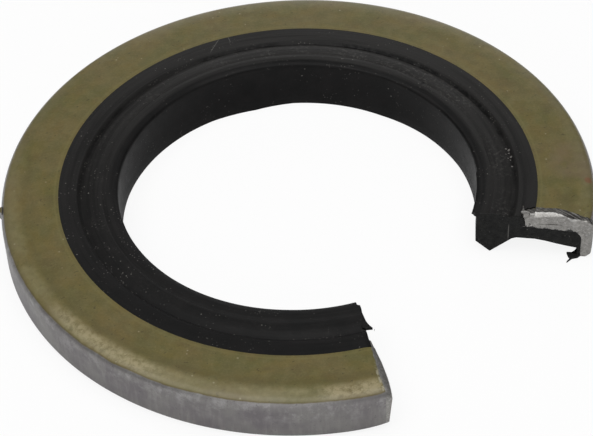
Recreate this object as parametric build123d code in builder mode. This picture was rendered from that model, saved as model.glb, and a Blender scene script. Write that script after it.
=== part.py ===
from build123d import *

import os
from math import cos, radians, sin, sqrt, tan

# A metal-cased rubber shaft seal, cut open over a sector so that its section shows.
# Frame: the origin is on the shaft axis at the seal's bottom face, +Z points out of the
# flange, and the left cut faces about +X. Lengths are in millimetres, angles in degrees.

# ---- Whole seal ----
shaft_diameter = 32.0
housing_diameter = 52.0
seal_height = 4.4

# ---- Steel case: an L-section ring, flange on top, open side down ----
flange_thickness = 1.3
wall_thickness = 0.9
hole_breakout = 0.35
inside_bend = 0.4
outside_bend_radius = 0.85
crown_width = 2.0
crown_drop = 0.15
rim_chamfer = 0.5

# ---- Rubber moulding: lip, web under the flange, skin on the wall ----
lip_interference = 0.6
lip_foot_width = 1.7
lip_flank_angle = 42.0
foot_edge = 0.2
web_level = 1.8
web_level_width = 1.8
web_root_level = 1.0
wall_skin = 0.3
skin_end = 0.15
overlap_width = 1.18
overlap_thickness = 0.15

# ---- Rings moulded into the top face of the rubber, outwards from the bore ----
mouth_step = 0.2
mouth_depth = 0.6
margin_width = 1.0
margin_drop = 0.17
crease_setback = 0.08
crease_width = 0.24
crease_depth = 0.1
ridge_width = 0.88
ridge_dip = 0.08
groove_width = 1.5
groove_floor_width = 0.5
groove_depth = 0.26
groove_to_steel = 0.4

# ---- The cuts that open the seal: heading of each from +X, and its distance from the axis ----
right_cut_heading = -8.5
right_cut_offset = 3.07
left_cut_heading = -77.15
left_cut_offset = 0.89
right_roll_radius = 1.2
left_roll_radius = 0.7
left_rim_roll_radius = 0.85

# ---- Bore pared away beside the right cut, under a thin flap of the mouth's edge ----
pare_depth = 0.42
pare_length = 4.5
flap_thickness = 0.45
torn_foot_height = 1.1
torn_foot_width = 1.3

# ---- Torn hook of wall skin inside the rim at the right cut ----
hook_thickness = 0.3
hook_drop = 0.1
hook_length = 1.14
hook_root = 0.25
hook_spike = 0.8

# ---- Torn tag of the top face over the left cut ----
tag_thickness = 0.35
tag_depth = 0.3
tag_start = 1.3
tag_length = 2.2
tag_reach = 0.45
tag_root = 0.25

# ---- Worked out from the sizes above ----
housing_radius = housing_diameter / 2
wall_inside = housing_radius - wall_thickness
flange_underside = seal_height - flange_thickness
crown_edge = seal_height - crown_drop
lip_radius = (shaft_diameter - lip_interference) / 2
mouth_radius = lip_radius + mouth_step
crease_inner = mouth_radius + margin_width + crease_setback
crease_outer = crease_inner + crease_width
groove_inner = crease_outer + ridge_width
groove_outer = groove_inner + groove_width
groove_wall_run = (groove_width - groove_floor_width) / 2
hole_radius = groove_outer + groove_to_steel
overlap_radius = hole_radius + overlap_width
heel_radius = lip_radius + lip_foot_width
knee = heel_radius + web_level / tan(radians(lip_flank_angle))
skin_radius = wall_inside - wall_skin
clear = housing_radius


def outward(heading):
    """Unit vector in the XY plane at a heading from +X."""
    return Vector(cos(radians(heading)), sin(radians(heading)), 0)


def across_cut(into_gap, offset):
    """Upright plane across a cut: x runs into the gap from the cut face, y runs up."""
    return Plane(origin=into_gap * offset, x_dir=into_gap, z_dir=into_gap.cross(Vector(0, 0, 1)))


def along_cut(heading, foot, radius, height):
    """Level plane with its origin on a cut face at a radius, x running outward along the cut."""
    edge = foot + outward(heading) * sqrt(radius**2 - foot.length**2)
    return Plane(origin=edge + Vector(0, 0, height), x_dir=outward(heading), z_dir=(0, 0, 1))


right_gap_side = outward(right_cut_heading - 90)
left_gap_side = outward(left_cut_heading + 90)
right_foot = right_gap_side * right_cut_offset
left_foot = left_gap_side * left_cut_offset
right_cut = across_cut(right_gap_side, right_cut_offset)
left_cut = across_cut(left_gap_side, left_cut_offset)
middle_heading = (right_cut_heading + left_cut_heading) / 2
section = Plane(origin=(0, 0, 0), x_dir=outward(middle_heading), z_dir=outward(middle_heading - 90))


def square_region(plane):
    """What a clean cut takes away, seen along it."""
    with BuildSketch(plane) as region:
        Rectangle(clear, 2 * clear, align=(Align.MIN, Align.CENTER))
    return region.sketch


def rolled_region(plane, top_roll):
    """What a shear cut takes away, with the sheet's top edge rolled back."""
    with BuildSketch(plane) as region:
        with BuildLine():
            face = Line((0, -clear), (0, seal_height - top_roll))
            top_arc = TangentArc(face @ 1, (-top_roll, seal_height), tangent=(0, 1))
            Polyline(top_arc @ 1, (-top_roll, clear), (clear, clear), (clear, -clear), (0, -clear))
        make_face()
    return region.sketch


def rolled_rim_region(plane, rim_roll):
    """The lower corner of the wall that a shear cut rolls back."""
    with BuildSketch(plane) as region:
        with BuildLine():
            arc = TangentArc((-rim_roll, 0), (0, rim_roll), tangent=(1, 0))
            Polyline(arc @ 1, (clear, rim_roll), (clear, -clear), (-rim_roll, -clear), (-rim_roll, 0))
        make_face()
    return region.sketch


def closed_outline(plane, *points):
    """A flat face with straight edges through the points."""
    with BuildSketch(plane) as region:
        with BuildLine():
            Polyline(*points, close=True)
        make_face()
    return region.sketch


# ---- Gap in the steel: both cuts, with their sheared edges ----
with BuildPart() as case_gap:
    extrude(rolled_region(right_cut, right_roll_radius), amount=clear, both=True)
    extrude(
        rolled_region(left_cut, left_roll_radius) + rolled_rim_region(left_cut, left_rim_roll_radius),
        amount=clear,
        both=True,
        mode=Mode.INTERSECT,
    )

# ---- Gap in the rubber: both cuts, square at the lip and sheared with the steel outside it ----
with BuildPart() as rubber_gap:
    extrude(square_region(right_cut), amount=clear, both=True)
    extrude(square_region(left_cut), amount=clear, both=True, mode=Mode.INTERSECT)
with BuildPart() as film_gap:
    add(case_gap.part)
    with BuildSketch():
        Circle(hole_radius)
    extrude(amount=clear, both=True, mode=Mode.SUBTRACT)

# ---- Steel case ----
with BuildPart() as steel_case:
    with BuildSketch(section) as case_profile:
        with BuildLine():
            wall = Polyline(
                (wall_inside, flange_underside - inside_bend),
                (wall_inside, 0),
                (housing_radius - rim_chamfer, 0),
                (housing_radius, rim_chamfer),
                (housing_radius, crown_edge),
            )
            crown_start = (housing_radius - crown_width, seal_height)
            TangentArc(crown_start, wall @ 1, tangent=(1, 0))
            Polyline(
                crown_start,
                (overlap_radius, seal_height),
                (overlap_radius, seal_height - overlap_thickness),
                (hole_radius, seal_height - overlap_thickness),
                (hole_radius + hole_breakout, flange_underside),
                (wall_inside - inside_bend, flange_underside),
                wall @ 0,
            )
        make_face()
        corner = case_profile.vertices().sort_by_distance((housing_radius, crown_edge))[0]
        fillet(corner, radius=outside_bend_radius)
    revolve(axis=Axis.Z)
    add(case_gap.part, mode=Mode.SUBTRACT)

# ---- Rubber moulding ----
with BuildPart() as rubber_lip_ring:
    with BuildSketch(section) as rubber_profile:
        with BuildLine():
            in_wall = wall_inside + wall_thickness / 2
            in_flange = flange_underside + flange_thickness / 2
            underside = Polyline(
                (groove_inner, seal_height),
                (groove_inner + groove_wall_run, seal_height - groove_depth),
                (groove_outer - groove_wall_run, seal_height - groove_depth),
                (groove_outer, seal_height),
                (overlap_radius, seal_height),
                (overlap_radius, in_flange),
                (in_wall, in_flange),
                (in_wall, skin_end),
                (skin_radius, skin_end),
                (skin_radius, web_root_level),
                (knee + web_level_width, web_level),
                (knee, web_level),
                (heel_radius, 0),
                (lip_radius + foot_edge, 0),
                (lip_radius, foot_edge),
                (lip_radius, seal_height - mouth_depth),
                (mouth_radius, seal_height - margin_drop),
                (mouth_radius + margin_width, seal_height),
                (crease_inner, seal_height),
                (crease_inner + crease_width / 2, seal_height - crease_depth),
                (crease_outer, seal_height),
            )
            ridge_top = (crease_outer + ridge_width / 2, seal_height - ridge_dip)
            ThreePointArc(underside @ 1, ridge_top, underside @ 0)
        make_face()
        add(case_profile.sketch_local, mode=Mode.SUBTRACT)
    revolve(axis=Axis.Z)
    add(rubber_gap.part, mode=Mode.SUBTRACT)
    add(film_gap.part, mode=Mode.SUBTRACT)

    # Beside the right cut, x runs outward from the bore and y away from the gap.
    bore_corner = along_cut(right_cut_heading, right_foot, lip_radius, 0)
    to_bore = sqrt(lip_radius**2 - right_cut_offset**2)
    pare_end = sqrt(lip_radius**2 - (right_cut_offset - pare_length) ** 2) - to_bore
    pared_bore = closed_outline(
        bore_corner,
        (pare_depth, -pare_length),
        (pare_depth, 0),
        (pare_end, pare_length),
        (-pare_length, pare_length),
        (-pare_length, -pare_length),
    )
    extrude(pared_bore, amount=seal_height - flap_thickness, mode=Mode.SUBTRACT)

    # The lip's foot is torn away on a slant, from the cut back to the end of the paring.
    tear_top = bore_corner.from_local_coords(Vector(pare_depth, 0, torn_foot_height))
    tear_foot = bore_corner.from_local_coords(Vector(pare_depth + torn_foot_width, 0, 0))
    tear_back = bore_corner.from_local_coords(Vector(pare_end, pare_length, 0))
    tear_run = tear_back - tear_foot
    tear = Plane(
        origin=(tear_foot + tear_back) / 2,
        x_dir=tear_run,
        z_dir=(tear_top - tear_foot).cross(tear_run),
    )
    with BuildSketch(tear):
        Rectangle(2 * tear_run.length, seal_height)
    extrude(amount=lip_foot_width, mode=Mode.SUBTRACT)

    # Inside the rim at the right cut, x runs outward from the wall and y away from the gap.
    torn_hook = closed_outline(
        along_cut(right_cut_heading, right_foot, wall_inside, skin_end - hook_drop),
        (-wall_skin / 4, hook_spike),
        (-wall_skin, hook_root * 2),
        (-hook_length, hook_root),
        (-hook_length, -hook_spike),
        (-hook_length + hook_root, -hook_root),
        (-wall_skin / 2, -hook_root),
    )
    extrude(torn_hook, amount=hook_thickness)

    # Over the left cut, x runs outward from the bore and y into the gap.
    torn_tag = closed_outline(
        along_cut(left_cut_heading, left_foot, lip_radius, seal_height - tag_depth - tag_thickness),
        (tag_start, -tag_root),
        (tag_start, 0),
        (tag_start + tag_length, tag_reach),
        (tag_start + tag_length - tag_root, 0),
        (tag_start + tag_length - tag_root, -tag_root),
    )
    extrude(torn_tag, amount=tag_thickness)

rubber_lip_ring.part.label = "rubber_lip_ring"
steel_case.part.label = "steel_case"
os.makedirs("parts", exist_ok=True)
export_step(steel_case.part, "parts/steel_case.step")
export_step(rubber_lip_ring.part, "parts/rubber_lip_ring.step")
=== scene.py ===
# %% [markdown]
# A metal-cased rubber shaft seal, cut open so that its section shows. A pressed steel ring with
# an L-shaped section carries a rubber moulding that rubs on the shaft. The CAD model gives the
# sizes and the place of both pieces. This lesson dresses them: each is modelled once more with
# finer edges, and gets a surface of its own. Lengths in the scene are metres. The lesson names
# them in millimetres, as a drawing does, and MM turns them into metres.

# %% Load the fixed frame
from math import atan2, cos, degrees, pi, radians, sin, sqrt

import bmesh
import bpy
from mathutils import Matrix, Vector


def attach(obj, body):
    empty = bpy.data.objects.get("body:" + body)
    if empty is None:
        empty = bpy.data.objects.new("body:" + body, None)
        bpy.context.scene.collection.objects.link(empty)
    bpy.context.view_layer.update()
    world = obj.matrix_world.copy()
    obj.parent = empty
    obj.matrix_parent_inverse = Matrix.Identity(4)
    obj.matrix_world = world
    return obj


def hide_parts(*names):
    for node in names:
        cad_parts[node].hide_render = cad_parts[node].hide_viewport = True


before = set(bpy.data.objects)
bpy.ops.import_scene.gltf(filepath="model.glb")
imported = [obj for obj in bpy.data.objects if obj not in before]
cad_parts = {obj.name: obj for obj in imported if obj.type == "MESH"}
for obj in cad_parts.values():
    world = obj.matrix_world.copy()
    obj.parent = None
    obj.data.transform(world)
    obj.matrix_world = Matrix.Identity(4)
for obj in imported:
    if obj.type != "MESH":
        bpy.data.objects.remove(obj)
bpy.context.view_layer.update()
MM = 0.001

# %% [markdown]
# The camera looks down at the ring from its open side. A long lens keeps the ring's ellipse
# nearly the same width at the front and at the back, and a short lens would look wrong here.
# The tilt comes from the ellipse's height, and the small roll levels its long axis.

# %% Camera
IMAGE_WIDTH = 593
SENSOR_WIDTH = 36
TILT_DOWN = radians(43.82)
CAMERA_ROLL = radians(-2.446)
LENS_PIXELS = 2064.7
CAMERA_PLACE = Vector((-0.000223, -0.132916, 0.127141))

bpy.ops.object.camera_add(location=CAMERA_PLACE)
camera = bpy.context.object
camera.name = "camera"
facing = Matrix.Rotation(pi / 2 - TILT_DOWN, 4, "X") @ Matrix.Rotation(CAMERA_ROLL, 4, "Z")
camera.rotation_euler = facing.to_euler()
camera.data.sensor_width = SENSOR_WIDTH
camera.data.lens = LENS_PIXELS * SENSOR_WIDTH / IMAGE_WIDTH
bpy.context.scene.camera = camera
print("camera at", tuple(CAMERA_PLACE), "lens", round(camera.data.lens, 1), "mm")

# %% [markdown]
# The two cuts that open the ring are upright planes, and neither passes through the shaft's
# axis. So each cut gets its own pair of level axes: `along` runs outwards in the cut face, and
# `behind` is the depth into the ring behind that face. Everything near a cut is placed in them.
# Angles round the shaft would miss, because a worn edge keeps its width along the whole cut.

# %% The two cuts
LIP_R = 15.7
HEIGHT = 4.4
NEAR_SHARE = 0.91
GAP_MIDDLE = radians(-43)


def level(angle):
    """The level unit vector at an angle from +X."""
    return Vector((cos(angle), sin(angle), 0))


class Cut:
    """An upright cut: its heading from +X, its distance from the axis and its open side."""

    def __init__(self, angle, offset, open_side):
        self.out = level(radians(angle))
        self.gap = level(radians(angle + open_side * 90))
        self.offset = offset

    def along(self, at):
        return at.dot(self.out)

    def behind(self, at):
        return self.offset - at.dot(self.gap)

    def place(self, along, behind, height):
        """The point with these three coordinates."""
        return self.out * along + self.gap * (self.offset - behind) + Vector((0, 0, height))

    def near(self, at, reach=9.0):
        """True in the last stretch of the ring before this cut, and just beyond the cut."""
        return self.along(at) > NEAR_SHARE * at.xy.length and self.behind(at) < reach


RIGHT = Cut(-8.5, 3.07, -1)
LEFT = Cut(-77.15, 0.89, 1)
lip_corner = RIGHT.place(sqrt(LIP_R**2 - RIGHT.offset**2), 0, HEIGHT)
print("the lip's corner at the right cut:", tuple(round(v, 2) for v in lip_corner))

# %% [markdown]
# Shader maths reads best as plain formulas. This small class wraps a socket, so that a formula
# such as (r - 20) * 0.5 adds its own Math nodes. `above` and `band` make the soft-edged masks
# that say where a finish begins and ends. A colour ramp could draw the same edge, but its two
# stops are harder to read than the place of the edge and the width of its blur.

# %% Shader formulas
def plug(tree, target, value):
    """Links a Wire to a socket, or sets the socket's own value."""
    if isinstance(value, Wire):
        tree.links.new(value.socket, target)
    else:
        target.default_value = value


def add_node(tree, kind, settings, inputs):
    """Adds one node: its settings first, then the values or links of its sockets."""
    node = tree.nodes.new(kind)
    for key, value in settings.items():
        setattr(node, key, value)
    for key, value in inputs.items():
        plug(tree, node.inputs[key], value)
    return node


class Wire:
    """A socket of a node tree that can be used in a formula."""

    def __init__(self, tree, socket):
        self.tree = tree
        self.socket = socket

    def math(self, kind, other=0.0, swap=False):
        """Adds a Math node on this value and one other."""
        first, second = (other, self) if swap else (self, other)
        node = add_node(self.tree, "ShaderNodeMath", {"operation": kind}, {0: first, 1: second})
        return Wire(self.tree, node.outputs[0])

    def __add__(self, other):
        return self.math("ADD", other)

    def __sub__(self, other):
        return self.math("SUBTRACT", other)

    def __rsub__(self, other):
        return self.math("SUBTRACT", other, swap=True)

    def __mul__(self, other):
        return self.math("MULTIPLY", other)

    def __truediv__(self, other):
        return self.math("DIVIDE", other)

    __radd__ = __add__
    __rmul__ = __mul__

    def within(self, low, high):
        """The value, held between two limits."""
        return self.math("MAXIMUM", low).math("MINIMUM", high)

    def above(self, edge, blur):
        """0 below the edge and 1 above it, over a soft step as wide as the blur."""
        return ((self - edge) / blur + 0.5).within(0, 1)

    def below(self, edge, blur):
        """1 below the edge and 0 above it."""
        return 1 - self.above(edge, blur)

    def band(self, middle, width, blur):
        """1 in a band around the middle, and 0 outside it."""
        return (self - middle).math("ABSOLUTE").below(width / 2, blur)


def paint(red, green, blue):
    """A colour given in a picture's 0 to 255 steps, as the light values that a shader takes."""
    parts = (red / 255, green / 255, blue / 255)
    light = [p / 12.92 if p <= 0.04045 else ((p + 0.055) / 1.055) ** 2.4 for p in parts]
    return (*light, 1.0)


print("formulas ready: mid grey sends back", round(paint(128, 128, 128)[0], 3), "of the light")

# %% [markdown]
# A finish is a base colour with thinner coats over it, each with a mask that says where it
# lies. The class below holds what every finish on this seal needs: noise for clouds, specks,
# single spots and scratches, and the axes of a cut and of the ring. All of it reads the object's
# own coordinates, in millimetres, so that a pattern stays on the metal when the part is moved.

# %% A finish
class Finish:
    """A new material, with its Principled shader and the object's own axes in millimetres."""

    def __init__(self, name):
        self.material = bpy.data.materials.new(name)
        self.material.use_nodes = True
        self.tree = self.material.node_tree
        self.shader = self.tree.nodes["Principled BSDF"]
        here = self.add("ShaderNodeTexCoord", {}, {}, "Object")
        self.where = self.add("ShaderNodeVectorMath", {"operation": "SCALE"},
                              {0: here, "Scale": 1 / MM}, 0)
        split = add_node(self.tree, "ShaderNodeSeparateXYZ", {}, {0: self.where})
        self.x, self.y, self.z = (Wire(self.tree, axis) for axis in split.outputs)
        self.r = (self.x * self.x + self.y * self.y).math("SQRT")

    def add(self, kind, settings, inputs, output):
        """Adds one node to this finish and returns one of its outputs."""
        return Wire(self.tree, add_node(self.tree, kind, settings, inputs).outputs[output])

    def cloud(self, per_mm, detail=2.0, roughness=0.5, where=None):
        """Noise from 0 to 1, with a number of lumps to the millimetre."""
        return self.add("ShaderNodeTexNoise", {},
                        {"Vector": where or self.where, "Scale": per_mm, "Detail": detail,
                         "Roughness": roughness}, "Fac")

    def stretch(self, x, y, z, angle=0.0):
        """The object's axes turned by an angle about Z and then scaled, for streaks."""
        turned = self.add("ShaderNodeMapping", {},
                          {"Vector": self.where, "Rotation": (0, 0, -angle)}, 0)
        return self.add("ShaderNodeVectorMath", {"operation": "MULTIPLY"},
                        {0: turned, 1: (x, y, z)}, 0)

    def spots(self, per_mm, size):
        """Round specks of a size from 0 to 1, one or none in each cell."""
        far = self.add("ShaderNodeTexVoronoi", {},
                       {"Vector": self.where, "Scale": per_mm, "Randomness": 1.0}, "Distance")
        return far.below(size, size * 0.6)

    def spot(self, x, y, z, size):
        """One round mark at a place, with a soft edge."""
        away = self.add("ShaderNodeVectorMath", {"operation": "DISTANCE"},
                        {0: self.where, 1: (x, y, z)}, "Value")
        return away.below(size, size * 0.5)

    def scratch(self, start, end, width):
        """A thin straight mark between two (x, y) places on a level face."""
        run = Vector(end) - Vector(start)
        reach = run.length
        run.normalize()
        middle = (Vector(start) + Vector(end)) / 2
        ahead = (self.x - middle.x) * run.x + (self.y - middle.y) * run.y
        aside = (self.y - middle.y) * run.x - (self.x - middle.x) * run.y
        return aside.band(0, width, width * 0.8) * ahead.band(0, reach, reach * 0.3)

    def cut_axes(self, cut):
        """A cut's along and behind coordinates, and a mask of the stretch near it."""
        along = self.x * cut.out.x + self.y * cut.out.y
        behind = cut.offset - (self.x * cut.gap.x + self.y * cut.gap.y)
        return along, behind, (along - self.r * NEAR_SHARE).above(0, 0.5)

    def ring_axes(self, per_mm, per_turn):
        """Axes for marks that run round the ring: along the radius, height and turn."""
        turn = (self.y * -cos(GAP_MIDDLE) + self.x * sin(GAP_MIDDLE)).math(
            "ARCTAN2", self.x * -cos(GAP_MIDDLE) - self.y * sin(GAP_MIDDLE))
        return self.add("ShaderNodeCombineXYZ", {},
                        {0: self.r * per_mm, 1: self.z * per_mm, 2: turn * per_turn}, 0)

    def mix(self, factor, first, second):
        """Blends two colours."""
        return self.add("ShaderNodeMix", {"data_type": "RGBA"},
                        {0: factor, 6: first, 7: second}, 2)

    def lay(self, colour, *coats):
        """Lays coats over a colour, from the bottom up. Each is a mask and the coat's colour."""
        for mask, coat in coats:
            colour = self.mix(mask, colour, coat)
        return colour

    def relief(self, height, depth, under=None):
        """A bump, with its depth in millimetres."""
        inputs = {"Strength": 1.0, "Distance": depth * MM, "Height": height}
        if under:
            inputs["Normal"] = under
        return self.add("ShaderNodeBump", {}, inputs, 0)

    def set(self, **inputs):
        """Sets or links inputs of the Principled shader. A _ stands for a space."""
        for key, value in inputs.items():
            plug(self.tree, self.shader.inputs[key.replace("_", " ")], value)
        return self.material


print("a finish can add:", [name for name in vars(Finish) if not name.startswith("_")])

# %% [markdown]
# The ring lies on a white sheet. A bright lamp would turn a plain white sheet white, and burn
# out the ring with it. So the sheet sends white straight to the camera instead, which keeps the
# page white with no more light on the ring, and it still takes a soft shadow.

# %% White sheet
PAGE_GLOW = 0.88
MIRRORED_GLOW = 0.1


def white_sheet():
    """A wide plane that looks white and takes the ring's shadow."""
    bpy.ops.mesh.primitive_plane_add(size=4.0, location=(0, 0, -0.02 * MM))
    sheet = bpy.context.object
    sheet.name = "sheet"
    bpy.ops.object.transform_apply(location=True, rotation=True, scale=True)
    page = Finish("white_page")
    rays = add_node(page.tree, "ShaderNodeLightPath", {}, {}).outputs
    seen, through, mirrored = (Wire(page.tree, rays[name]) for name in (
        "Is Camera Ray", "Is Transmission Ray", "Is Glossy Ray"))
    share = (seen * PAGE_GLOW + through * PAGE_GLOW + mirrored * MIRRORED_GLOW).math("MINIMUM", 1)
    glow = page.add("ShaderNodeEmission", {}, {"Color": (1, 1, 1, 1), "Strength": 1.0}, 0)
    matt = page.add("ShaderNodeBsdfDiffuse", {}, {"Color": (0.92, 0.92, 0.92, 1)}, 0)
    both = page.add("ShaderNodeMixShader", {}, {0: share, 1: matt, 2: glow}, 0)
    plug(page.tree, page.tree.nodes["Material Output"].inputs["Surface"], both)
    sheet.data.materials.append(page.material)
    return sheet


print("sheet:", tuple(round(side, 2) for side in white_sheet().dimensions), "metres")

# %% [markdown]
# The light is soft studio light. A large lamp overhead lights the flat faces and draws the pale
# line along the outside bend. A low lamp behind skims the rubber, so that the far side of it
# looks paler than the near side, and a low one in front fills the wall and the cut faces. A
# faint white world stands for the room's walls. Small lamps would give hard, dark shadows.

# %% Lamps and room
ROOM_LIGHT = 0.12


def soft_box(name, place, size, power):
    """A square lamp that faces the ring."""
    bpy.ops.object.light_add(type="AREA", location=place)
    lamp = bpy.context.object
    lamp.name = name
    lamp.data.shape = "SQUARE"
    lamp.data.size = size
    lamp.data.energy = power
    lamp.rotation_euler = (-Vector(place)).to_track_quat("-Z", "Y").to_euler()


def white_room():
    """A world that looks white to the camera and lights the ring only faintly."""
    room = bpy.data.worlds.new("studio")
    room.use_nodes = True
    bpy.context.scene.world = room
    tree, walls = room.node_tree, room.node_tree.nodes["Background"]
    seen = Wire(tree, add_node(tree, "ShaderNodeLightPath", {}, {}).outputs["Is Camera Ray"])
    plug(tree, walls.inputs["Strength"], seen * PAGE_GLOW + ROOM_LIGHT)
    plug(tree, walls.inputs["Color"], (1, 1, 1, 1))


soft_box("lamp_overhead", (-0.03, -0.07, 0.45), 0.54, 2.3)
soft_box("lamp_behind", (0.03, 0.46, 0.13), 0.28, 0.3)
soft_box("lamp_front", (-0.08, -0.46, 0.16), 0.28, 0.35)
white_room()
bpy.context.scene.view_settings.view_transform = "Standard"

# %% [markdown]
# A ring is a section swept round an axis. The outline of the section is drawn point by point,
# by extruding one vertex, and closed with a face. Its corners are rounded with a vertex bevel
# while it is still flat. Spin then sweeps it a little too far at both ends, and a bisect with
# a fill trims each end to its cut. A boolean ring less a wedge would do as well, but it leaves
# no clean rows of faces for the worn edges that come later.

# %% Outline and sweep
SPIN_START, SPIN_END = -28, 294
MERGE_TOLERANCE = 0.0005 * MM


def nothing_selected():
    """Leaves edit mode with nothing selected, because operators act on all that is."""
    if bpy.context.object and bpy.context.object.mode != "OBJECT":
        bpy.ops.object.mode_set(mode="OBJECT")
    bpy.ops.object.select_all(action="DESELECT")


def choose(piece, kind, test):
    """In edit mode, selects the vertices or faces whose middle passes a test."""
    bpy.ops.mesh.select_mode(type={"verts": "VERT", "faces": "FACE"}[kind])
    bpy.ops.mesh.select_all(action="DESELECT")
    mesh = bmesh.from_edit_mesh(piece.data)
    for item in getattr(mesh, kind):
        middle = item.co if kind == "verts" else item.calc_center_median()
        if test(middle / MM):
            item.select_set(True)
    mesh.select_flush_mode()
    bmesh.update_edit_mesh(piece.data)


def draw_outline(name, points):
    """Draws a flat closed outline by extruding one vertex from point to point."""
    nothing_selected()
    bpy.ops.mesh.primitive_plane_add(size=MM, location=points[0] * MM)
    piece = bpy.context.object
    piece.name = name
    bpy.ops.object.transform_apply(location=True, rotation=True, scale=True)
    bpy.ops.object.mode_set(mode="EDIT")
    bpy.ops.mesh.select_mode(type="VERT")
    bpy.ops.mesh.select_all(action="SELECT")
    bpy.ops.mesh.merge(type="CENTER")
    for last, point in zip(points, points[1:]):
        bpy.ops.mesh.extrude_vertices_move(TRANSFORM_OT_translate={"value": (point - last) * MM})
    bpy.ops.mesh.select_all(action="SELECT")
    bpy.ops.mesh.edge_face_add()
    return piece


def swept_ring(name, outline, rounds=()):
    """Sweeps an outline of (radius, height) points round the axis, with rounded corners."""
    out = level(radians(SPIN_START))
    points = [out * r + Vector((0, 0, z)) for r, z in outline]
    piece = draw_outline(name, points)
    for (r, z), radius, segments in rounds:
        corner = out * r + Vector((0, 0, z))
        choose(piece, "verts", lambda at: (at - corner).length < 0.01)
        bpy.ops.mesh.bevel(offset=radius * MM, segments=segments, affect="VERTICES")
    bpy.ops.mesh.select_mode(type="FACE")
    bpy.ops.mesh.select_all(action="SELECT")
    bpy.ops.mesh.spin(steps=SPIN_END - SPIN_START, angle=radians(SPIN_END - SPIN_START),
                      center=(0, 0, 0), axis=(0, 0, -1))
    bpy.ops.mesh.select_all(action="SELECT")
    bpy.ops.mesh.remove_doubles(threshold=MERGE_TOLERANCE)
    bpy.ops.mesh.normals_make_consistent(inside=False)
    return piece


print("a sweep of", SPIN_END - SPIN_START, "degrees, trimmed later to the two cuts")

# %% [markdown]
# The steel case is one L-shaped section: a flange on top and a wall at the outside, open
# downwards, pressed from sheet 1.3 mm thick. The flange falls away a little before the outside
# bend, and its underside slopes down a little towards the wall. A thin step at its inner edge
# leaves room for the film of rubber that laps over it. The sweep ends at the cuts with extra
# rows of edges, close together, which the next step needs to wear them down.

# %% Steel case
HOUSING_R = 26.0
WALL_IN = 25.1
HOLE_R = 20.0
OVERLAP_R = 20.95
FILM_BOTTOM = 4.25
CHAMFER = 0.44
CROWN_EDGE = 4.2
SLOPED_UNDERSIDE = [(20.35, 3.15), (22.3, 3.02)]
INSIDE_BEND = (WALL_IN, 2.82)
RIGHT_ROWS = (0.08, 0.2, 0.35, 0.45, 0.55, 0.65, 0.8, 1.0, 1.2)
LEFT_ROWS = (0.04, 0.1, 0.2, 0.35, 0.5, 0.7, 0.95)
BISECT_TOLERANCE = 0.00001 * MM


def trim(piece, cut, rows=()):
    """Cuts the ring's end off at a cut, closes it, and adds rows of edges behind the cut."""
    choose(piece, "faces", cut.near)
    bpy.ops.mesh.bisect(plane_co=cut.gap * cut.offset * MM, plane_no=cut.gap, use_fill=True,
                        clear_outer=True, threshold=BISECT_TOLERANCE)
    for behind in rows:
        choose(piece, "faces", lambda at: cut.near(at, reach=6) and cut.behind(at) > 0.005)
        bpy.ops.mesh.bisect(plane_co=cut.gap * (cut.offset - behind) * MM, plane_no=cut.gap,
                            threshold=BISECT_TOLERANCE)


case_outline = [
    (WALL_IN, 0), (HOUSING_R - CHAMFER, 0), (HOUSING_R, CHAMFER), (HOUSING_R, CROWN_EDGE),
    (25.2, 4.3), (24.75, 4.35), (24.3, 4.385), (23.8, HEIGHT), (OVERLAP_R, HEIGHT),
    (OVERLAP_R, FILM_BOTTOM), (HOLE_R, FILM_BOTTOM), *SLOPED_UNDERSIDE, INSIDE_BEND,
]
case_rounds = [((HOUSING_R, CROWN_EDGE), 0.7, 9), (INSIDE_BEND, 0.8, 5),
               ((HOUSING_R, CHAMFER), 0.15, 2)]
case_ring = swept_ring("case_ring", case_outline, case_rounds)
trim(case_ring, RIGHT, RIGHT_ROWS)
trim(case_ring, LEFT, LEFT_ROWS)
bpy.ops.object.mode_set(mode="OBJECT")
print("case, swept and trimmed:", len(case_ring.data.polygons), "faces")

# %% [markdown]
# The sheared ends are not square. At the right one the blade left a leaning face under a
# scraped bevel, and at the left one it dragged the top down and swelled the metal into the gap.
# A bevel modifier gives a rounding of one width only. Here the width and the depth change along
# the cut, so each vertex is moved by an amount that is looked up from its place.

# %% Sheared ends
UNDERSIDE = 3.1
DRAG_WIDTH, DRAG_DEPTH = 0.9, 0.45


def ramp(value, *stops):
    """Straight lines between (value, result) stops, and level beyond the first and last."""
    if value <= stops[0][0]:
        return stops[0][1]
    for (low, first), (high, last) in zip(stops, stops[1:]):
        if value < high:
            return first + (last - first) * (value - low) / (high - low)
    return stops[-1][1]


def wear_edge(piece, cut, drop_at, bulge_at):
    """Sinks the top face towards a cut, and pushes the cut face out into the gap."""
    for vertex in piece.data.vertices:
        at = vertex.co / MM
        if not cut.near(at, reach=1.4):
            continue
        behind = max(cut.behind(at), 0)
        push = bulge_at(cut.along(at), behind, at.z)
        if at.z > UNDERSIDE:
            share = (at.z - UNDERSIDE) / (HEIGHT - UNDERSIDE)
            vertex.co.z -= drop_at(cut.along(at), behind) * share * MM
        vertex.co += cut.gap * push * MM


def right_drop(along, behind):
    """The bevel sinks slightly to the burr line, and the face leans from there to the cut."""
    burr_line = ramp(along, (20.0, 0.46), (22.2, 0.62), (22.7, 0.6), (23.9, 0.12))
    lean = ramp(along, (22.7, 1.18), (24.2, 0.35), (25.2, 0.2))
    return ramp(behind, (0, lean), (burr_line, 0.1), (1.25, 0))


def left_drop(along, behind):
    """An oval edge, twice as wide as deep, that begins where the steel does."""
    depth = DRAG_DEPTH * min(max((along - 19.2) / 0.8, 0), 1)
    return depth * (1 - sqrt(1 - (1 - min(behind / DRAG_WIDTH, 1)) ** 2))


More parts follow.
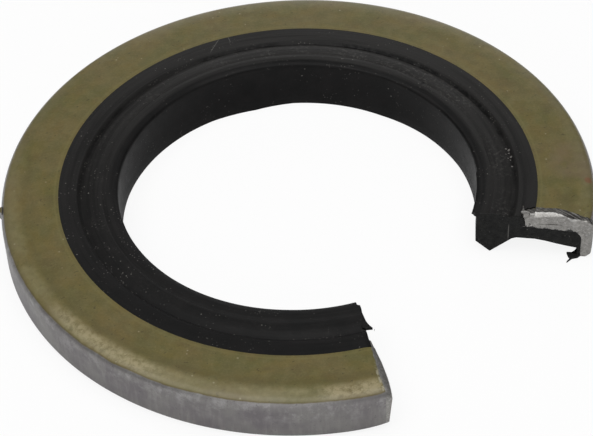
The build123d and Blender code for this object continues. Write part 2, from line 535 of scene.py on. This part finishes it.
def left_bulge(along, behind, height):
    """The swelling of the left cut, widest on the flange and gone half way down the wall."""
    swell = ramp(along, (19.2, 0), (20.2, 0.12), (21.6, 0.2), (22.6, 0.28), (24.6, 0.24),
                 (25.9, 0.12))
    return swell * ramp(height, (2.0, 0), (3.6, 1)) * (1 - min(behind / DRAG_WIDTH, 1)) ** 2


def no_bulge(along, behind, height):
    """A flat cut face."""
    return 0


wear_edge(case_ring, RIGHT, right_drop, no_bulge)
wear_edge(case_ring, LEFT, left_drop, left_bulge)
print("the flange's outer end: right", round(right_drop(24.2, 0), 2), "mm down, left",
      round(left_drop(24.2, 0), 2), "mm down and", left_bulge(24.6, 0, HEIGHT), "mm out")

# %% [markdown]
# The shears also rolled the wall's lower corner back at the left cut, and lifted the last few
# millimetres of the rim with it. The rubber skin behind the wall follows the same roll, so this
# is a function that both pieces go through, and they still meet face to face.

# %% Rolled rim
RIM_START = 23.9
RIM_ROLL_WIDTH, RIM_ROLL_HEIGHT = 0.85, 1.3
RIM_LIFT, RIM_LIFT_LENGTH = 0.3, 3.4


def roll_rim(piece):
    """Rolls the lower corner back at the left cut and lifts the rim behind it."""
    moved = 0
    for vertex in piece.data.vertices:
        at = vertex.co / MM
        height = at.z / RIM_ROLL_HEIGHT
        if not LEFT.near(at, RIM_LIFT_LENGTH) or height >= 1 or LEFT.along(at) < RIM_START:
            continue
        behind = max(LEFT.behind(at), 0)
        back = RIM_ROLL_WIDTH * (1 - sqrt(1 - (1 - height) ** 2))
        squeeze = max(1 - behind / RIM_ROLL_WIDTH, 0)
        lift = RIM_LIFT * max(1 - behind / RIM_LIFT_LENGTH, 0) ** 2 * (1 - height)
        vertex.co += (Vector((0, 0, lift)) - LEFT.gap * back * squeeze) * MM
        moved += 1
    print(piece.name, "has", moved, "vertices in its rolled rim")


roll_rim(case_ring)

# %% [markdown]
# Two burrs stay on the case. A hooked spur of steel lies on the rubber at the inner corner of
# the right cut, and a flake of plating stands out of the wall on the far side. Each is a small
# block joined on with a boolean, pointed so that it tapers to nothing as a real burr does.
# Pulling vertices of the ring itself would crease its faces, and a boolean leaves them flat.

# %% Burrs
def block(name, points, move):
    """A flat outline pushed along a direction into a solid block."""
    solid = draw_outline(name, points)
    bpy.ops.mesh.extrude_region_move(TRANSFORM_OT_translate={"value": move * MM})
    bpy.ops.mesh.select_all(action="SELECT")
    bpy.ops.mesh.normals_make_consistent(inside=False)
    bpy.ops.object.mode_set(mode="OBJECT")
    return solid


def at_cut(cut, low, high, *points):
    """An upright block beside a cut, from its (along, behind) points and two heights."""
    corners = [cut.place(along, behind, low) for along, behind in points]
    return block("block", corners, Vector((0, 0, high - low)))


def combine(piece, solid, how):
    """Cuts a block out of a piece, or joins it on, and removes the block."""
    nothing_selected()
    bpy.context.view_layer.objects.active = piece
    change = piece.modifiers.new("combine", "BOOLEAN")
    change.operation = how
    change.object = solid
    bpy.ops.object.modifier_apply(modifier=change.name)
    bpy.data.objects.remove(solid)


spur = at_cut(RIGHT, 4.0, 4.44, (19.6, 0.44), (19.72, 0.62), (19.77, 1.3), (19.9, 0.74),
              (20.1, 0.6), (20.4, 0.5), (20.3, 0.25), (19.85, 0.2))
combine(case_ring, spur, "UNION")
flake_corners = [Vector((-25.85, -1.6, 3.2)), Vector((-26.17, -2.0, 3.3)),
                 Vector((-26.12, -2.2, 3.3)), Vector((-25.82, -2.5, 3.2))]
flake = block("flake", flake_corners, Vector((0.03, 0, 0.85)))
combine(case_ring, flake, "UNION")
print("case with its burrs:", len(case_ring.data.polygons), "faces")

# %% [markdown]
# A piece is closed in the same way each time: smooth shading where faces meet gently, flat
# shading on the two cuts, and its place in the frame. Its new mesh takes over from the CAD
# node and rides on the same body. Edges that do not join exactly two faces are counted,
# because a solid has none.

# %% Close the case
def count_open(piece):
    """How many edges do not join exactly two faces. A closed solid has none."""
    mesh = bmesh.new()
    mesh.from_mesh(piece.data)
    count = sum(not edge.is_manifold for edge in mesh.edges)
    mesh.free()
    return count


def close_piece(piece, node, smooth_angle=28):
    """Smooth shading, flat on the cuts, and the piece's place in the frame."""
    nothing_selected()
    piece.select_set(True)
    bpy.context.view_layer.objects.active = piece
    bpy.ops.object.shade_smooth_by_angle(angle=radians(smooth_angle))
    for face in piece.data.polygons:
        if max(face.normal.dot(RIGHT.gap), face.normal.dot(LEFT.gap)) > 0.9995:
            face.use_smooth = False
    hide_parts(node)
    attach(piece, "root")
    open_edges = count_open(piece)
    print(piece.name, len(piece.data.polygons), "faces,", open_edges, "open edges")


close_piece(case_ring, "steel_case", 22)

# %% [markdown]
# The rubber moulding fills the inside of the case: a lip with its bore, a web under the flange,
# a thin skin down the wall, and a film that laps over the flange's inner edge. Its top face
# carries rings: a dished margin that turns down into the mouth, a crease, a low ridge and a V
# groove with a steep outer wall. Rings this shallow could be a bump in the material, but a bump
# does not show on the cut faces, so they are drawn in the outline, point by point.

# %% Rubber moulding
SKIN_IN, SKIN_END = 24.8, 0.15
film = [(19.6, 4.39), (19.9, HEIGHT), (OVERLAP_R, HEIGHT), (OVERLAP_R, FILM_BOTTOM),
        (HOLE_R, FILM_BOTTOM)]
under_flange = [*SLOPED_UNDERSIDE, (24.3, 2.87), (24.68, 2.74), (24.97, 2.45), (WALL_IN, 2.02)]
wall_skin = [(WALL_IN, SKIN_END), (SKIN_IN, SKIN_END), (SKIN_IN, 1.0)]
web = [(24.15, 1.11), (23.0, 1.36), (22.1, 1.6), (21.2, 1.77), (19.6, 1.8), (19.2, 1.65)]
foot = [(17.4, 0), (15.75, 0), (LIP_R, 0.12)]
bore = [(LIP_R, 0.9), (LIP_R, 1.8), (LIP_R, 2.8), (LIP_R, 3.6)]
mouth = [(15.72, 3.95), (15.77, 4.14), (15.86, 4.24), (16.02, 4.3), (16.2, 4.33)]
margin = [(16.42, 4.37), (16.7, 4.37), (17.02, 4.375)]
crease = [(17.1, 4.34), (17.16, 4.335), (17.24, 4.37)]
ridge = [(17.5, 4.365), (17.9, 4.335), (18.3, 4.28)]
groove = [(18.6, 4.2), (18.85, 4.1), (18.97, 4.08), (19.08, 4.14), (19.2, 4.28), (19.33, 4.37)]
rubber_outline = (film + under_flange + wall_skin + web + foot + bore + mouth + margin + crease
                  + ridge + groove)
lip_ring = swept_ring("lip_ring", rubber_outline)
trim(lip_ring, RIGHT)
trim(lip_ring, LEFT, LEFT_ROWS)
bpy.ops.object.mode_set(mode="OBJECT")
wear_edge(lip_ring, LEFT, left_drop, no_bulge)
roll_rim(lip_ring)
print("moulding, swept and trimmed:", len(lip_ring.data.polygons), "faces")

# %% [markdown]
# A cut lip is free to spring, so the bore is no longer round: its foot leans in at the back,
# most at a sag left of the middle, and its mouth stands a little in at the front. A lattice
# could lean it too, but it takes the rings along. So each point of the bore moves towards the
# axis by an amount looked up from its turn round the axis and its height.

# %% Sprung lip
FOOT_LEAN = ((0, 0), (20, 0.05), (40, 0.25), (58, 0.5), (90, 0.52), (104, 0.84), (112, 0.72),
             (120, 0.55), (136, 0.42), (155, 0.26), (170, 0.12), (188, 0))
MOUTH_LEAN = ((200, 0), (225, 0.03), (245, 0.08), (265, 0.12), (285, 0.1))
most = 0
for vertex in lip_ring.data.vertices:
    at = vertex.co / MM
    turn, flat = degrees(atan2(at.y, at.x)) % 360, Vector((at.x, at.y, 0))
    lean = (ramp(turn, *FOOT_LEAN) * ramp(at.z, (0, 1), (2.8, 0))
            + ramp(turn, *MOUTH_LEAN) * ramp(at.z, (2.8, 0), (4, 1)))
    share = ramp(flat.length, (16.0, 1), (16.7, 0))
    vertex.co -= flat.normalized() * lean * share * MM
    most = max(most, lean * share)
print("the bore leans in by up to", round(most, 2), "mm")

# %% [markdown]
# Beside the right cut a knife pared the bore and left a thin flap of the mouth's edge over it,
# and the foot of the lip tore off on a slant. Each is a block taken away with a boolean. The
# ring's own vertices lie too far apart there to be moved into such sharp corners.

# %% Pared bore and torn foot
PARED_R = 15.82
PARE_END = (15.635, 4.5)

pared = at_cut(RIGHT, -1, 3.95, (PARED_R, -1), (15.84, 0), (15.79, 0.9), (15.73, 2.2),
               (15.67, 3.4), PARE_END, (11, 4.5), (11, -1))
combine(lip_ring, pared, "DIFFERENCE")
flap_end = at_cut(RIGHT, 3.5, 5, (15.9, -0.5), (15.84, 0.03), (15.68, 0.1), (15.5, 0.33),
                  (15.2, 0.5), (14.8, -0.5))
combine(lip_ring, flap_end, "DIFFERENCE")

tear_top = RIGHT.place(PARED_R, 0, 1.13)
tear_out = RIGHT.place(17.08, 0, 0) - tear_top
tear_in = RIGHT.place(*PARE_END, 0) - tear_top
tear_face = [tear_top + tear_out * a + tear_in * b
             for a, b in ((-1.5, -0.4), (1.8, -0.4), (1.8, 1.5), (-1.5, 1.5))]
below = tear_in.cross(tear_out).normalized() * 4
if below.z > 0:
    below = -below
combine(lip_ring, block("tear", tear_face, below), "DIFFERENCE")
print("moulding with its bore pared:", len(lip_ring.data.polygons), "faces")

# %% [markdown]
# The film came away from the steel beside the right cut, and a hook of torn skin hangs inside
# the rim. At the left cut a tag of the top face reaches over the edge, and the film is set back
# a little from the steel. They are blocks too, drawn as jagged as the real tears, because a
# smooth line would look cut and not torn.

# %% Torn film, hook and tag
bare_film = at_cut(RIGHT, 4.18, 4.8, (19.55, -0.5), (21.7, -0.5), (21.7, 1.34), (21.25, 1.3),
                   (20.95, 1.18), (20.7, 1.24), (20.4, 1.06), (20.15, 1.08), (19.95, 0.84),
                   (19.8, 0.72), (19.7, 0.66))
combine(lip_ring, bare_film, "DIFFERENCE")
hook = at_cut(RIGHT, 0.04, 0.26, (24.64, 0.9), (24.47, 0.49), (24.2, 0.2), (23.75, 0.18),
              (23.89, -0.24), (24.07, -0.53), (23.78, -0.99), (24.24, -0.46), (24.7, -0.3),
              (24.93, -0.05), (25.0, 0.5), (25.03, 0.9))
combine(lip_ring, hook, "UNION")
tag = at_cut(LEFT, 4.05, 4.3, (15.9, 0.3), (15.74, 0.32), (15.98, 0.2), (16.1, 0),
             (16.22, -0.22), (16.6, -0.22), (17.09, -0.16), (17.6, -0.18), (18.06, -0.2),
             (18.4, -0.28), (18.68, -0.38), (19.13, -0.62), (18.99, -0.11), (18.8, 0.12),
             (18.7, 0.3))
combine(lip_ring, tag, "UNION")
set_back = at_cut(LEFT, 3.3, 6, (18.85, 0.04), (19.1, 0.08), (20.2, 0.1), (21.4, 0.12),
                  (21.4, -0.6), (18.95, -0.6))
combine(lip_ring, set_back, "DIFFERENCE")
close_piece(lip_ring, "rubber_lip_ring")

# %% [markdown]
# The steel wears a thin olive varnish that a shop dips or sprays on. It pools and thins, so it
# is a little greener here and browner there, with a wash that ran round the ring, dark flecks
# and a few pale specks of dust under it. The clouds are noise at several scales, from the width
# of the flange to a grain of sand. A picture could be laid on instead, but noise has no seams
# and stays sharp close up.

# %% Olive varnish
steel = Finish("varnished_steel")
greener = steel.cloud(0.22, 3).above(0.5, 0.22)
paler = steel.cloud(0.9, 4, 0.6).above(0.53, 0.25)
browner = steel.cloud(0.5, 4, 0.65).above(0.58, 0.1)
wash = steel.cloud(1.0, 4, 0.65, steel.ring_axes(0.7, 9))
grain = steel.cloud(5.0, 3, 0.7)
flecks = steel.cloud(1.0, 2, 0.6, steel.stretch(2.2, 3.6, 2.0, 0.6)).above(0.69, 0.04)
dust = steel.spots(1.1, 0.09) * steel.cloud(0.5, 1).above(0.56, 0.05)
olive = steel.lay(
    steel.mix(greener, paint(93, 88, 47), paint(102, 90, 54)),
    (paler * 0.45, paint(116, 108, 70)),
    (browner * 0.4, paint(90, 76, 44)),
    (wash.above(0.56, 0.16) * 0.35, paint(112, 96, 46)),
    (wash.below(0.43, 0.14) * 0.3, paint(86, 84, 52)),
    (grain.above(0.52, 0.3) * 0.22, paint(74, 70, 34)),
    (grain.below(0.42, 0.1) * 0.22, paint(116, 110, 72)),
    (flecks * 0.6, paint(58, 50, 30)),
    (dust * 0.5, paint(165, 158, 132)))
print("varnish:", len(steel.tree.nodes), "nodes")

# %% [markdown]
# The varnish also carries painted light. The outside bend is painted cream at the front, a
# painted highlight, and just inside that bend it is painted darker, a painted shade. A paler
# band runs along the film's edge. A painted reflection lies grey over the outer rim, and by the
# right cut the varnish is stained and has begun to rust. A painted mask could hold all this, but
# bands of the radius follow the ring exactly.

# %% Painted highlight and shade on the varnish, and stains
# Painted reflection: grey over the outer rim, where the crown mirrors its pale surroundings.
rim_reflection = steel.r.above(25.0, 0.9) * steel.cloud(0.35, 2).above(0.45, 0.2)
# A share that grows towards the front, for the painted light on the bend.
front_share = (steel.y / -26 + 0.35).within(0, 1)
# Painted highlight: cream on the outside bend at the front.
bend_highlight = steel.r.band(24.95, 1.2, 0.7) * steel.cloud(0.3, 3, 0.6).above(0.42, 0.3) * front_share
speckled = steel.cloud(1.8, 4, 0.75)
# Painted highlight: cream patches on the bend at the front left and the front.
creamy_highlight = steel.spot(-16.4, -18.6, 4.3, 5.5) * 0.4 + steel.spot(4.4, -24.4, 4.3, 3.2) * 0.45
creamy_highlight = creamy_highlight * steel.r.band(25.0, 1.1, 0.6) * speckled.above(0.46, 0.2)
# Painted shade: darker just inside the outside bend, towards the front.
inner_bend_shade = steel.r.band(23.8, 0.7, 0.6) * front_share
# A paler band along the film's edge.
film_edge_band = steel.r.band(21.28, 0.16, 0.12)
stained = steel.spot(25.0, 0.6, 4.3, 2.6) * steel.cloud(0.8, 3).above(0.4, 0.3)
rusty = steel.spot(25.3, -1.7, 4.25, 0.35)
# Laid on in turn: painted reflection, painted highlights, painted shade, a paler band, a stain
# and rust.
olive = steel.lay(
    olive,
    (rim_reflection * 0.3, paint(118, 112, 94)),
    (bend_highlight * speckled * 0.9, paint(142, 134, 98)),
    (creamy_highlight.within(0, 1), paint(176, 164, 130)),
    (inner_bend_shade * 0.35, paint(82, 74, 42)),
    (film_edge_band * 0.3, paint(116, 110, 66)),
    (stained * 0.35, paint(114, 96, 82)),
    (rusty * 0.5, paint(120, 66, 48)))
print("varnish with its runs:", len(steel.tree.nodes), "nodes")

# %% [markdown]
# The varnish stops just below the outside bend, because the wall is ground to size afterwards.
# Its edge wanders a little and is browner where it dried thick. The ground wall is bare grey
# with upright grinding marks and paler scuffs, and a dark line at its foot is painted shade. The
# marks are noise stretched along the height, which is cheaper than cutting hundreds of grooves.

# %% Ground wall
COAT_EDGE = 4.05
coat_height = steel.z - (steel.cloud(0.8, 3) - 0.5) * 0.14
coated = coat_height.above(COAT_EDGE, 0.07)
thick_edge = coat_height.band(COAT_EDGE + 0.04, 0.09, 0.07)
olive = steel.lay(olive, (thick_edge * 0.45, paint(86, 76, 46)))
mottle = steel.cloud(0.4, 4, 0.65).above(0.5, 0.25)
streaks = steel.cloud(1.0, 3, 0.6, steel.stretch(3.2, 3.2, 0.45))
scuffs = steel.cloud(0.9, 5, 0.75).above(0.56, 0.16) * steel.z.above(2.6, 2.4)
tarnish = steel.cloud(3.2, 3, 0.7).above(0.64, 0.06)
ground = steel.lay(
    steel.mix(mottle, paint(114, 110, 112), paint(128, 126, 124)),
    (steel.z.above(3.6, 0.9) * 0.45, paint(156, 154, 152)),
    (streaks.above(0.54, 0.25) * 0.14, paint(106, 103, 105)),
    (streaks.below(0.42, 0.15) * 0.14, paint(158, 157, 154)),
    (scuffs * 0.6, paint(168, 167, 166)),
    (tarnish * 0.4, paint(86, 83, 86)),
    # Painted shade: a dark line along the foot of the wall.
    (steel.z.below(0.12, 0.16) * 0.7, paint(66, 64, 66)))
print("ground wall:", len(steel.tree.nodes), "nodes")

# %% [markdown]
# Where a blade went through, the steel is bare. The right cut has three parts: a darker bevel
# scraped with slanting scratches, a bright line along the burr, which is a painted glint, and a
# smooth grey face with rubber smeared along its lower border. Each part could be a material of
# its own on its own faces, but then its border would follow the mesh. So each is a mask made
# from the cut's two axes.

# %% Right cut
right_along, right_behind, near_right = steel.cut_axes(RIGHT)
ragged = (steel.cloud(3.0, 3) - 0.5) * 0.25
bevel_end = (1.2 - (right_along - 22.9) * 0.32).within(0.5, 1.2)
bare_right = (right_behind - bevel_end + ragged).below(0, 0.06) * near_right
towards_bend = right_along.above(23.3, 1.4)
burr = ((right_along - 20) * 0.07 + 0.46).within(0.4, 0.62) * (1 - towards_bend) + 0.07
past_burr = right_behind - burr + (steel.cloud(1.5, 3, 0.6) - 0.5) * 0.3
bevel_part = past_burr.above(0.04, 0.06)
# Painted glint: a bright line along the burr, broken up by noise.
burr_glint = past_burr.band(0, 0.13, 0.07) * right_along.below(24.4, 0.6)
burr_glint = burr_glint * steel.cloud(1.9, 3, 0.7).above(0.44, 0.12) * near_right
smooth_face = steel.lay(
    steel.mix(steel.cloud(1.6, 4, 0.7).above(0.5, 0.25), paint(134, 132, 129),
              paint(154, 152, 148)),
    (steel.cloud(6.0, 3, 0.7).above(0.56, 0.08) * 0.4, paint(100, 97, 93)),
    (steel.cloud(4.0, 3, 0.7).below(0.41, 0.06) * 0.4, paint(188, 186, 183)))
scrapes = steel.cloud(1.0, 3, 0.6, steel.stretch(0.9, 9.0, 1.0, radians(-38.5)))
scraped = towards_bend * 0.55 + 0.3
fines = steel.cloud(4.5, 3, 0.7)
bevel = steel.lay(
    steel.mix(scrapes.above(0.5, 0.08) * scraped, paint(94, 92, 89), paint(46, 43, 41)),
    (scrapes.below(0.42, 0.06) * scraped, paint(152, 150, 147)),
    (fines.above(0.58, 0.08) * 0.5, paint(72, 70, 67)),
    (fines.below(0.4, 0.06) * 0.4, paint(150, 149, 146)))
# The bright burr line is a painted glint.
cut_metal = steel.lay(smooth_face, (bevel_part, bevel), (burr_glint * 0.65, paint(184, 183, 180)))
print("right cut:", len(steel.tree.nodes), "nodes")

# %% [markdown]
# At the left cut a strip of the coat has flaked off along the edge, in pale chips towards the
# outside. At the right cut the blade dragged rubber over the lower border of the steel, and its
# top edge wanders. Both are masks in the same two axes, with noise added to the distance before
# the edge is taken, which makes a torn line out of a straight one.

# %% Chips and smears
left_along, left_behind, near_left = steel.cut_axes(LEFT)
strip = ((left_along - 21) * 0.07 + 0.2).within(0.12, 0.4)
past_strip = left_behind - strip + ragged * 0.9
bare_left = past_strip.below(0, 0.05) * near_left
chips = past_strip.band(0.08, 0.18, 0.12) * near_left * steel.cloud(2.4, 2).above(0.5, 0.1)
chips = chips * left_along.above(23.2, 1.6)
bare = (bare_right + bare_left).within(0, 1)
smear_top = steel.cloud(1.7, 4, 0.75) * 1.5 + 2.5 - (right_along - 20.3) * 0.085
smear = (steel.z - smear_top).below(0, 0.04) * steel.z.above(2.6, 0.1) * near_right
smear = smear * right_along.below(24.6, 0.2) * right_behind.below(0.3, 0.2)
print("cuts:", len(steel.tree.nodes), "nodes")

# %% [markdown]
# The parts are laid over one another from the bottom up: ground wall, varnish, bare cuts,
# chips and smears. Bare metal is metallic and a little rougher than the varnish. Relief comes
# from two bumps: the varnish's orange skin, and grooves where the metal is ground or scraped.
# One material with masks is used and not one for each part, because the parts blend.

# %% Steel put together
colour = steel.lay(ground, (coated, olive), (bare, cut_metal),
                   (chips * coated * 0.6, paint(176, 172, 154)), (smear, paint(30, 29, 29)))
metal = (1 - coated + bare).within(0, 1) * (1 - smear)
bare_bevel = bevel_part * bare_right
orange_skin = steel.relief(steel.cloud(2.5, 3, 0.6) * coated, 0.012)
grooves = steel.relief(streaks * (1 - coated) * 0.5 + scrapes * bare_bevel, 0.02, orange_skin)
case_ring.data.materials.append(steel.set(
    Base_Color=colour, Metallic=metal * 0.8 + 0.05,
    Roughness=metal * 0.1 + bare_bevel * 0.25 + grain * 0.1 + 0.31,
    Specular_IOR_Level=0.4, Normal=grooves))
print("steel:", len(steel.tree.nodes), "nodes")

# %% [markdown]
# The rubber is nitrile, black and nearly matt. Its top is painted paler grey towards the far
# side, a painted sheen, and dust grains lie in patches and in the groove. Marks that the mould's
# turned surface left run round the ring, so their noise is laid in the ring's own axes, whose
# seam lies in the open gap. Plain noise would put the same lumps there with no direction, as on a
# cast part.

# %% Dusty black rubber
rubber = Finish("black_rubber")
top = rubber.z.above(3.9, 0.3)
mottled = rubber.cloud(0.5, 4, 0.6).above(0.5, 0.3)
rings = rubber.cloud(1.0, 3, 0.6, rubber.ring_axes(2.6, 1.6))
# A share that grows towards the far side, for the painted sheen and painted shade on top.
far_side_share = (rubber.y / 44 + rubber.x / 150 + 0.5).within(0, 1)
far_side_top = far_side_share * top
beyond_mouth = 1 - rubber.r.below(16.45, 0.25)
patchy = rubber.cloud(0.28, 2).above(0.5, 0.12) + rubber.spot(-17.6, -5.2, 4.3, 7) * 0.9
grains = rubber.spots(3.6, 0.17) * rubber.cloud(0.9, 2).above(0.54, 0.1) * patchy
large_grains = rubber.spots(1.3, 0.075) * rubber.cloud(0.6, 1).above(0.5, 0.1) * patchy
black = rubber.lay(
    rubber.mix(mottled, paint(17, 17, 17), paint(23, 22, 22)),
    # Painted sheen: the top paler grey towards the far side, and its turned rings paler there
    # too.
    (far_side_top * beyond_mouth * 0.85, paint(43, 42, 41)),
    (rings.above(0.55, 0.2) * far_side_top * 0.3, paint(54, 53, 52)),
    (rings.below(0.42, 0.15) * top * 0.35, paint(12, 12, 12)),
    (grains.within(0, 1) * 0.5, paint(108, 105, 102)),
    (large_grains.within(0, 1) * 0.45, paint(140, 138, 132)))
print("rubber:", len(rubber.tree.nodes), "nodes")

# %% [markdown]
# The groove is where the dust collects, and where painted light marks the shape. Pale grains
# lodge in its floor, a dark line along it and dark rings in it are painted shade, and the ridge
# beside it is painted paler grey in patches, a painted sheen. These marks keep to bands of the
# radius, broken up by two sizes of noise, so that they come and go on their way round.

# %% Groove and ridge
in_groove = rubber.r.band(19.02, 0.3, 0.12) * top
lodged = rubber.spots(4.0, 0.24) * rubber.cloud(0.5, 3).above(0.54, 0.08) * in_groove
# Painted shade: a dark line along the groove, strongest on the far side.
groove_shade_line = rubber.cloud(0.22, 2).above(0.47, 0.1) * rubber.cloud(1.7, 3, 0.7).above(0.45, 0.1)
groove_shade_line = groove_shade_line * rubber.r.band(18.98, 0.4, 0.16) * far_side_top
# Painted sheen: patchy pale grey on the ridge, strongest on the far side.
ridge_sheen = rubber.cloud(3.0, 4, 0.75).above(0.56, 0.08) * rubber.cloud(0.25, 2).above(0.5, 0.12)
ridge_sheen = ridge_sheen * rubber.r.band(17.9, 1.6, 0.5) * far_side_top
black = rubber.lay(
    black,
    (lodged * 0.45, paint(116, 113, 108)),
    # Painted shade along the groove.
    (groove_shade_line.within(0, 1) * 0.9, paint(6, 6, 6)),
    # Painted sheen on the ridge.
    (ridge_sheen * 0.35, paint(92, 90, 87)),
    # Painted shade: darker rings in the groove, most on the far side.
    (in_groove * rings.above(0.45, 0.2) * far_side_share * 0.5, paint(8, 8, 8)))
print("rubber with its groove:", len(rubber.tree.nodes), "nodes")

# %% [markdown]
# A few marks have places of their own: a pinhole, a hairline crack at the edge of the ridge, two
# hairs on the film, and crumbs in the groove. Each is a small mask at its place. They could be
# tiny pieces lying on the rubber, but a crumb a tenth of a millimetre wide has no shape to see.

# %% Marks on the rubber
HAIRS = (((-7.58, 18.07), (-6.83, 19.82), 0.07), ((-5.97, 20.07), (-5.75, 19.35), 0.06))
CRUMBS = ((18.62, 3.0, 0.09), (18.86, 2.79, 0.13), (18.8, 2.42, 0.08), (18.95, 1.9, 0.11),
          (18.86, 1.52, 0.07), (18.5, 2.2, 0.08), (18.66, 1.72, 0.07), (18.91, 0.67, 0.09),
          (-14.2, -12.9, 0.13), (-13.2, -13.9, 0.1), (-11.4, -13.1, 0.1))
CRUMB_HEIGHT = 4.12
hairs = [(rubber.scratch(start, end, width) * top * 0.42, paint(116, 114, 110))
         for start, end, width in HAIRS]
crack = rubber.scratch((16.69, 3.37), (17.05, 0.69), 0.05) * top
pinhole = rubber.spot(11.89, 12.2, 4.35, 0.16)
crumbs = [(rubber.spot(x, y, CRUMB_HEIGHT, size) * 0.5, paint(140, 137, 132))
          for x, y, size in CRUMBS]
black = rubber.lay(black, *hairs, ((crack * 0.8 + pinhole).within(0, 1), paint(4, 4, 4)), *crumbs)
print("rubber with its marks:", len(rubber.tree.nodes), "nodes")

# %% [markdown]
# The freshly cut face has no film of dust yet. It is rough and a little paler, with fresh
# grains and one light scratch down it. Three bumps give the rubber its feel: fine pores all
# over, the turned rings on top, and a coarse tear on the cut. All are too low to be modelled.

# %% Fresh cut and relief
cut_along, cut_behind, near_cut = rubber.cut_axes(RIGHT)
fresh = cut_behind.below(0.06, 0.04) * near_cut
score = cut_along.band(18.64, 0.07, 0.06) * rubber.z.band(2.45, 1.5, 0.5)
fresh_grains = rubber.spots(2.6, 0.12) * rubber.cloud(0.8, 2).above(0.52, 0.1)
fresh_face = rubber.lay(
    rubber.mix(rubber.cloud(1.8, 4, 0.7).above(0.5, 0.3), paint(24, 24, 24), paint(38, 38, 37)),
    (score * 0.5, paint(128, 126, 122)),
    (fresh_grains * 0.5, paint(120, 117, 114)))
pores = rubber.relief(rubber.cloud(9.0, 2, 0.6), 0.012)
turned = rubber.relief(rings * top, 0.03, pores)
torn = rubber.relief(rubber.cloud(2.6, 4, 0.7) * fresh, 0.12, turned)
lip_ring.data.materials.append(rubber.set(
    Base_Color=rubber.lay(black, (fresh, fresh_face)),
    Roughness=rubber.cloud(1.2, 3, 0.6) * 0.16 + fresh * 0.2 + 0.38,
    Specular_IOR_Level=0.1, Normal=torn))
print("rubber with its cut:", len(rubber.tree.nodes), "nodes")

# %% Leave nothing selected
nothing_selected()
